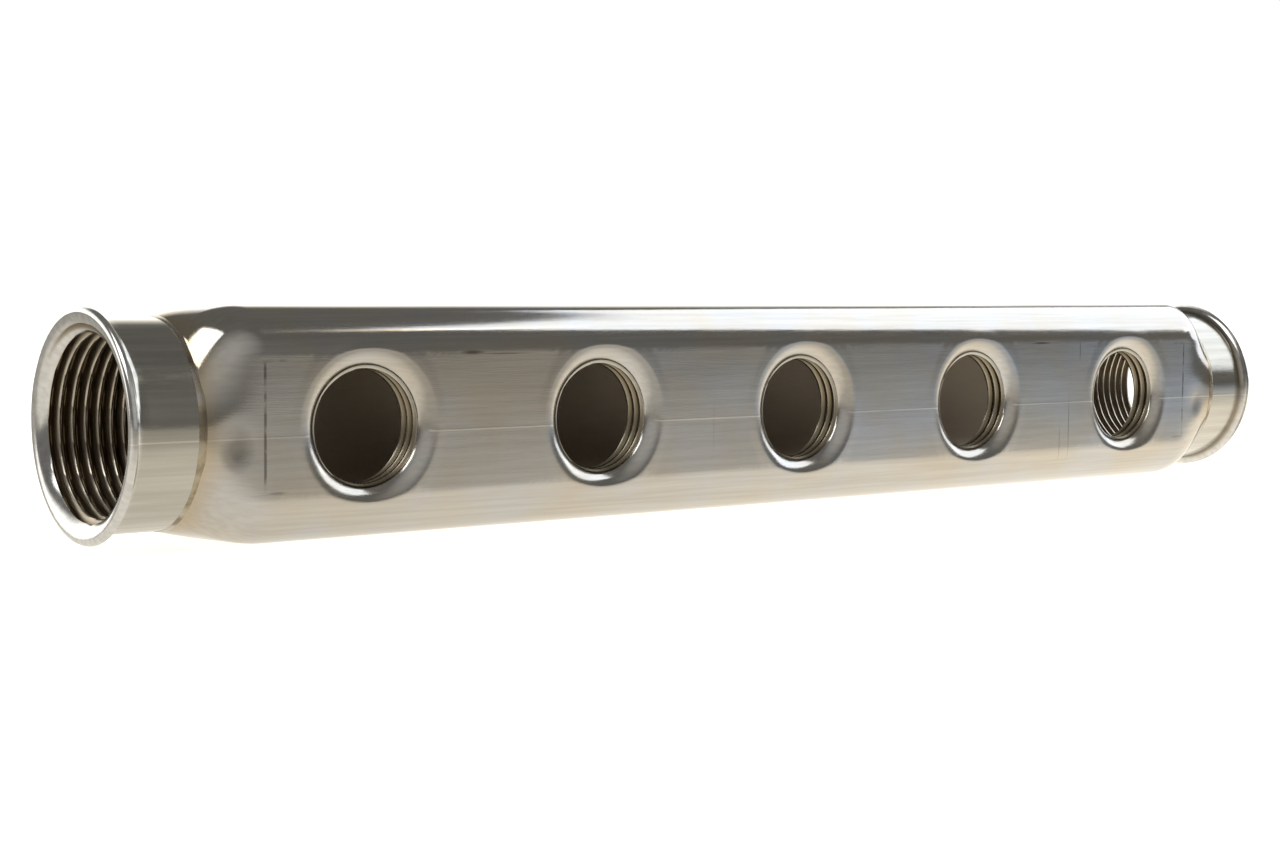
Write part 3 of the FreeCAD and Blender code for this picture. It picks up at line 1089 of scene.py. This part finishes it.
@dataclass
class EndSocket:
    """One end socket: a spigot inside the body, a plain neck, a flared rim, and the
    thread that takes the supply pipe. Sizes are in millimetres."""

    finish: TurnedStainless
    side: Side
    neck: float = 17.7
    spigot: float = 17.15
    spigot_length: float = 5.0
    length: float = 18.0
    starts_at: float = 126.0
    fillet_shade: float = 0.0  # how strong the painted shade in the fillet is
    rim: float = 19.4
    rim_fillet: float = 1.9
    rim_round: float = 0.9
    rim_land: float = 0.05
    spigot_edge: float = 0.3
    burnished: tuple[float, float] = (2.4, 1.0)  # depth of the rim's finish, and its fade
    tint: tuple[float, float] = (2.3, 0.9)  # depth of the middle of the fillet's painted shade, and its reach
    neck_rows: int = 8
    fillet_rows: int = 8
    round_rows: int = 5
    steps: int = 144
    thread: ThreadedBore = ThreadedBore(2.309, 15.1455, 16.6245, 18.0, 18.4, 2.0, 0.48)

    def outline(self) -> list[tuple[float, float]]:
        """Draw the outside, from the spigot's end to the rim's mouth.

        Returns:
            Radius and height of each point.
        """
        rise = self.rim - self.neck
        run = math.sqrt(self.rim_fillet**2 - (self.rim_fillet - rise) ** 2)
        land = self.length - self.rim_round - self.rim_land
        widest = math.acos((self.rim_fillet - rise) / self.rim_fillet)
        points = [
            (self.spigot - self.spigot_edge, 0.0),
            (self.spigot, self.spigot_edge),
            (self.spigot, self.spigot_length),
        ]
        row = (land - run - self.spigot_length) / self.neck_rows
        points += [(self.neck, self.spigot_length + row * n) for n in range(self.neck_rows)]
        for n in range(self.fillet_rows + 1):
            angle = widest * n / self.fillet_rows
            points.append(
                (
                    self.neck + self.rim_fillet * (1 - math.cos(angle)),
                    land - run + self.rim_fillet * math.sin(angle),
                )
            )
        for n in range(self.round_rows + 1):
            angle = math.pi / 2 * n / self.round_rows
            points.append(
                (
                    self.rim - self.rim_round * (1 - math.cos(angle)),
                    self.length - self.rim_round * (1 - math.sin(angle)),
                )
            )
        return points

    def build(self) -> bpy.types.Object:
        """Build the socket about Z, then lay it along the bar.

        Returns:
            The piece.
        """
        mesh = bmesh.new()
        points = self.outline() + self.thread.outline()
        spin_round(mesh, chain(mesh, points + points[:1]), self.steps)
        face_outwards(mesh)
        self.thread.cut(mesh)
        rim = mesh.verts.layers.float.new("rim")
        painted_shade = mesh.verts.layers.float["painted_shade"]
        deep, fade = self.burnished
        middle, reach = self.tint
        for dot in mesh.verts:
            dot[rim] = smooth((dot.co.z - (self.length - deep)) / fade)
            # painted shade on the outer fillet below the rim, in the same layer as the roots'
            # shade
            if math.hypot(dot.co.x, dot.co.y) > self.neck - LAYER_GAP:
                dot[painted_shade] = self.fillet_shade * bell(dot.co.z - (self.length - middle), reach)
        place = place_at_end(self.side, self.starts_at)
        bmesh.ops.transform(mesh, matrix=place, verts=mesh.verts)
        name = self.side.name.lower()
        return finish_piece(
            mesh,
            f"{name}_socket",
            self.finish.material(f"turned_stainless_{name}"),
            f"{name}_end_socket",
        )


@dataclass
class PortCollar:
    """The threaded collar behind one outlet. Sizes are in millimetres."""

    material: bpy.types.Material
    number: int
    x: float
    outer: float = 12.3
    length: float = 4.25
    edge: float = 0.25
    mouth_land: float = 0.2
    face_at: float = PORT_FACE
    height: float = PORT_HEIGHT
    steps: int = 96
    thread: ThreadedBore = ThreadedBore(1.814, 9.68, 10.3, 4.25, 10.3, 0.3)

    def build(self) -> bpy.types.Object:
        """Build the collar about Z, then face it out of its outlet.

        Returns:
            The piece.
        """
        mesh = bmesh.new()
        outline = [
            (self.outer - self.edge, 0.0),
            (self.outer, self.edge),
            (self.outer, self.length),
            (self.thread.mouth + self.mouth_land, self.length),
        ]
        points = outline + self.thread.outline()
        spin_round(mesh, chain(mesh, points + points[:1]), self.steps)
        face_outwards(mesh)
        self.thread.cut(mesh)
        mesh.verts.layers.float.new("rim")
        turn = Matrix.Rotation(math.radians(90), 4, "X")
        shift = Matrix.Translation((self.x, self.face_at + self.length, self.height))
        bmesh.ops.transform(mesh, matrix=shift @ turn, verts=mesh.verts)
        return finish_piece(
            mesh,
            f"outlet_collar_{self.number}",
            self.material,
            f"port_collar_{self.number}",
        )


@dataclass
class WeldRing:
    """A bead of weld metal about Z with the ripple of its pool. Sizes in millimetres."""

    material: bpy.types.Material
    name: str
    node: str
    points: list[tuple[float, float]]
    place: Matrix
    ripple: float
    seed: float
    steps: int = 180
    ripple_scale: float = 0.9  # ripples to a millimetre

    def build(self) -> bpy.types.Object:
        """Spin the bead's outline, ripple it, and lay it in its joint.

        Returns:
            The piece.
        """
        mesh = bmesh.new()
        spin_round(mesh, chain(mesh, self.points + self.points[:1]), self.steps)
        face_outwards(mesh)
        for dot in mesh.verts:
            wave = noise.noise(dot.co * self.ripple_scale + Vector((self.seed, 0, 0)))
            dot.co += dot.normal * self.ripple * wave
        bmesh.ops.transform(mesh, matrix=self.place, verts=mesh.verts)
        return finish_piece(mesh, self.name, self.material, self.node)


SEAM_AT = 131.0  # from the bar's middle to the weld round each neck, in millimetres
END_BEAD = [(17.5, 0.8), (17.72, 0.7), (17.84, 0.3), (17.88, -0.1), (17.9, -0.6), (17.5, -0.8)]
OUTLET_BEAD = [(12.25, 0.2), (13.45, 0.15), (13.0, -0.35), (12.7, -0.75), (12.25, -1.2)]


# ----------------------------------------------------------------- the studio


@dataclass(frozen=True)
class SoftBox:
    """One soft light: where it hangs round the bar, how large it is, and how bright."""

    name: str
    azimuth: float  # degrees from +X towards +Y
    elevation: float
    distance: float  # metres
    size: tuple[float, float]
    brightness: float  # of its face, where white paper in full light is 1
    colour: str = "FFFFFF"

    def hang(self) -> None:
        """Hang the light, facing the bar."""
        turn, lift = math.radians(self.azimuth), math.radians(self.elevation)
        way = Vector(
            (math.cos(turn) * math.cos(lift), math.sin(turn) * math.cos(lift), math.sin(lift))
        )
        light = bpy.data.lights.new(self.name, "AREA")
        light.shape = "RECTANGLE"
        light.size, light.size_y = self.size
        light.energy = self.brightness * math.pi * self.size[0] * self.size[1]
        light.color = linear(self.colour)[:3]
        lamp = bpy.data.objects.new(self.name, light)
        lamp.location = way * self.distance
        lamp.rotation_euler = way.to_track_quat("Z", "Y").to_euler()
        bpy.context.scene.collection.objects.link(lamp)


@dataclass(frozen=True)
class Studio:
    """A pale paper floor in a dim room, with soft boxes to the right and overhead."""

    floor_half: float = 2.5
    paper: str = "F6F4F0"
    paper_glow: float = 0.84
    warm: str = "FFF8EB"
    cool: str = "E9F1FB"
    near_glow: float = 1.05
    fall_off: tuple[tuple[float, float], ...] = (
        (0.0, 0.95),
        (0.035, 0.9),
        (0.09, 0.5),
        (0.28, 0.42),
        (0.7, 0.2),
        (1.0, 0.16),
    )  # distance in front of or behind the bar, in metres, and how bright the paper is
    side_glow: tuple[float, float, float] = (-0.15, 0.15, 1.45)  # from X, to X, and gain
    day_slant: tuple[float, float] = (0.45, 1.05)  # X over distance where the light cools
    day_from: tuple[float, float] = (0.05, 0.16)  # distance over which that comes in
    room: float = 0.19
    room_colour: str = "FBF8F2"
    seen_room: float = 1.05
    horizon: float = 2.0
    horizon_top: tuple[float, float] = (0.62, 0.4)  # its height, from its fade to full
    horizon_side: tuple[float, float] = (0.42, 0.6)  # how far round to the back it starts
    front_spread: tuple[float, float] = (0.7, 0.97)
    front: float = 0.56
    front_way: tuple[float, float, float] = (-0.25, -0.91, 0.32)
    boxes: tuple[SoftBox, ...] = (
        SoftBox("window", -5, 33.3, 3.0, (3.1, 2.22), 1.9, "F0F6FF"),
        SoftBox("strip_warm", -41.5, 44.5, 3.0, (0.4, 0.04), 3.5, "FFE2A8"),
        SoftBox("top_left", -170, 47, 1.6, (1.0, 0.9), 3.0),
        SoftBox("window_foot", 2, 9.5, 3.0, (2.2, 0.7), 1.7, "F1F6FF"),
    )

    def floor(self, height: float) -> None:
        """Lay the paper floor, whose light falls off to the front and the back.

        Args:
            height: Where its surface lies, in metres.
        """
        mesh = bmesh.new()
        bmesh.ops.create_grid(mesh, x_segments=1, y_segments=1, size=self.floor_half)
        bmesh.ops.translate(mesh, vec=(0, 0, height), verts=mesh.verts)
        data = bpy.data.meshes.new("floor")
        mesh.to_mesh(data)
        mesh.free()
        made, tree = new_material("pale_paper")
        place = add_node(tree, "TexCoord")["Object"]
        x, y, _ = add_node(tree, "SeparateXYZ", {0: place})
        off = add_node(tree, "Math", {0: y}, operation="ABSOLUTE")[0]
        fall = add_node(tree, "ValToRGB", {0: off})[0]
        stops = fall.node.color_ramp.elements
        for stop, (distance, shade) in zip(stops, (self.fall_off[0], self.fall_off[-1])):
            stop.position, stop.color = distance, (shade, shade, shade, 1)
        for distance, shade in self.fall_off[1:-1]:
            stops.new(distance).color = (shade, shade, shade, 1)
        slant = add_node(tree, "Math", {0: x, 1: off}, operation="DIVIDE")[0]
        near, far = self.day_slant
        aside = add_node(tree, "MapRange", {0: slant, 1: near, 2: far})[0]
        near, far = self.day_from
        day = add_node(tree, "MapRange", {0: off, 1: near, 2: far, 3: 0.0, 4: aside})[0]
        blend = {0: day, 6: linear(self.warm), 7: linear(self.cool)}
        tone = add_node(tree, "Mix", blend, data_type="RGBA")[2]
        left, right, gain = self.side_glow
        rise = {0: x, 1: left, 2: right, 3: self.near_glow, 4: gain * self.near_glow}
        glow = add_node(tree, "MapRange", rise)[0]
        level = add_node(tree, "Math", {0: fall, 1: glow}, operation="MULTIPLY")[0]
        away = add_node(tree, "Emission", {"Color": tone, "Strength": level})[0]
        paper = {
            "Base Color": linear(self.paper),
            "Roughness": 0.9,
            "Specular IOR Level": 0.1,
            "Emission Color": linear(self.paper),
            "Emission Strength": self.paper_glow,
        }
        near = add_node(tree, "BsdfPrincipled", paper)[0]
        seen = add_node(tree, "LightPath")["Is Camera Ray"]
        both = add_node(tree, "MixShader", {0: seen, 1: away, 2: near})[0]
        add_node(tree, "OutputMaterial", {"Surface": both})
        data.materials.append(made)
        floor = bpy.data.objects.new("floor", data)
        bpy.context.scene.collection.objects.link(floor)
        floor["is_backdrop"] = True

    def world(self) -> None:
        """Set the room: white to the camera, and dim to the metal above its horizon."""
        world = bpy.data.worlds.new("studio_room")
        world.use_nodes = True
        tree = world.node_tree
        tree.nodes.clear()
        way = add_node(tree, "TexCoord")["Generated"]
        _, y, z = add_node(tree, "SeparateXYZ", {0: way})
        fade, full = self.horizon_top
        low = add_node(tree, "MapRange", {0: z, 1: fade, 2: full})[0]
        fade, full = self.horizon_side
        back = {0: y, 1: fade, 2: full, 3: 0.0, 4: self.horizon - self.room}
        lit = add_node(tree, "MapRange", back)[0]
        behind = add_node(tree, "Math", {0: low, 1: lit}, operation="MULTIPLY")[0]
        aim = {0: way, 1: self.front_way}
        facing = add_node(tree, "VectorMath", aim, operation="DOT_PRODUCT")[1]
        fade, full = self.front_spread
        near = {0: facing, 1: fade, 2: full, 3: self.room, 4: self.front}
        before = add_node(tree, "MapRange", near)[0]
        level = add_node(tree, "Math", {0: behind, 1: before}, operation="ADD")[0]
        dim = {"Strength": level, "Color": linear(self.room_colour)}
        room = add_node(tree, "Background", dim)[0]
        bright = {"Strength": self.seen_room, "Color": linear("FFFFFF")}
        white = add_node(tree, "Background", bright)[0]
        seen = add_node(tree, "LightPath")["Is Camera Ray"]
        both = add_node(tree, "MixShader", {0: seen, 1: room, 2: white})[0]
        add_node(tree, "OutputWorld", {"Surface": both})
        bpy.context.scene.world = world

    def build(self, floor_height: float) -> None:
        """Set the floor, the room and the lights.

        Args:
            floor_height: Where the floor lies, in metres.
        """
        self.floor(floor_height)
        self.world()
        for box in self.boxes:
            box.hang()


@dataclass(frozen=True)
class ViewCamera:
    """The camera at the viewing angle, with a moderate long lens."""

    place: tuple[float, float, float] = (-0.2903, -0.3236, 0.0244)
    yaw: float = 0.6818  # from +Y towards +X
    pitch: float = -0.0681
    roll: float = 0.0087
    lens: float = 60.18

    def build(self) -> None:
        """Create the camera and make it the scene's own."""
        forward = Vector(
            (
                math.sin(self.yaw) * math.cos(self.pitch),
                math.cos(self.yaw) * math.cos(self.pitch),
                math.sin(self.pitch),
            )
        )
        level = Vector((math.cos(self.yaw), -math.sin(self.yaw), 0))
        over = level.cross(forward)
        right = level * math.cos(self.roll) + over * math.sin(self.roll)
        up = over * math.cos(self.roll) - level * math.sin(self.roll)
        data = bpy.data.cameras.new("view")
        data.lens = self.lens
        data.sensor_width = 36.0
        data.clip_start = 0.01
        camera = bpy.data.objects.new("view", data)
        camera.matrix_world = Matrix(
            (
                (right.x, up.x, -forward.x, self.place[0]),
                (right.y, up.y, -forward.y, self.place[1]),
                (right.z, up.z, -forward.z, self.place[2]),
                (0, 0, 0, 1),
            )
        )
        bpy.context.scene.collection.objects.link(camera)
        bpy.context.scene.camera = camera


def main() -> None:
    """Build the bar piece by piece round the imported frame."""
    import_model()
    bpy.context.scene.view_settings.view_transform = "Standard"
    ViewCamera().build()

    shell = BodyShell(DrawnStainless())
    shell.build()
    turned = TurnedStainless()
    # the tapped thread's colours, with a darker painted shade in its roots
    tapped = TurnedStainless(crest="A29987", painted_shade="665A44").material("tapped_stainless")
    weld = WeldMetal().material()
    for side in Side:
        # only the right socket's fillet gets painted shade
        EndSocket(turned, side, fillet_shade=0.8 if side is Side.RIGHT else 0.0).build()
        name = side.name.lower()
        WeldRing(
            weld,
            f"{name}_seam",
            f"{name}_end_weld",
            END_BEAD,
            place_at_end(side, SEAM_AT),
            ripple=0.02,
            seed=side.value * 7.0,
        ).build()
    for number, x in enumerate(shell.port_xs, start=1):
        PortCollar(tapped, number, x).build()
        turn = Matrix.Rotation(math.radians(90), 4, "X")
        WeldRing(
            weld,
            f"outlet_weld_{number}",
            f"port_weld_{number}",
            OUTLET_BEAD,
            Matrix.Translation((x, PORT_FACE, PORT_HEIGHT)) @ turn,
            ripple=0.08,
            seed=number * 3.0,
            steps=96,
        ).build()

    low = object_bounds()[0]
    Studio().build(low[2] - FLOOR_GAP)


if __name__ == "__main__":
    main()
